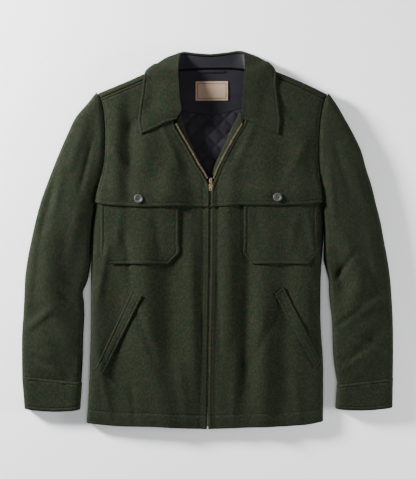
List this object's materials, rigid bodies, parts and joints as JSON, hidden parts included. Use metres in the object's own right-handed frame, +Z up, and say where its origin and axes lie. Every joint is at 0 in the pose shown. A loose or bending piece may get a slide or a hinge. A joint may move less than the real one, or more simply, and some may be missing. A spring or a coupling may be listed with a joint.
{
  "type": "shirt jacket",
  "caption": "Wool shirt jacket laid flat, fronts up, zip open to the chest, with a spread collar, yoke flaps over patch pockets and slanted welt pockets.",
  "frame": {"origin": "middle of the jacket's outline, on the surface that it lies on", "axes": "+X to the right of the picture, +Y from the hem to the collar, +Z up from the surface, out of the fronts"},
  "size_m": [0.7684, 0.7885, 0.041],
  "materials": {
    "green_wool": "matte, fulled and heathered",
    "dark_lining": "smooth, slightly satin",
    "tan_label": "woven",
    "dark_horn": "satin",
    "antique_brass": "aged"
  },
  "bodies": {
    "garment": {"back": "green_wool", "yoke_left": "green_wool", "yoke_right": "green_wool", "front_left": "green_wool", "front_right": "green_wool", "sleeve_left": "green_wool", "sleeve_right": "green_wool", "cuff_left": "green_wool", "cuff_right": "green_wool", "chest_pocket_left": "green_wool", "chest_pocket_right": "green_wool", "welt_left": "green_wool", "welt_right": "green_wool", "facing_left": "green_wool", "facing_right": "green_wool", "collar": "green_wool", "inner_collar": "dark_lining", "neck_facing": "dark_lining", "back_lining": "dark_lining", "hanger_loop": "dark_lining", "label": "tan_label", "button_left": "dark_horn", "button_right": "dark_horn", "zip_tape_left": "antique_brass", "zip_tape_right": "antique_brass", "zip_chain": "antique_brass", "slider": "antique_brass"},
    "tab": {"pull_tab": "antique_brass"}
  },
  "joints": [
    {"name": "pull_tab_swing", "type": "hinge", "parent": "garment", "child": "tab", "pos_m": [0.0055, 0.119, 0.03127], "axis": [-1, 0, 0], "range_deg": [0, 165]}
  ]
}
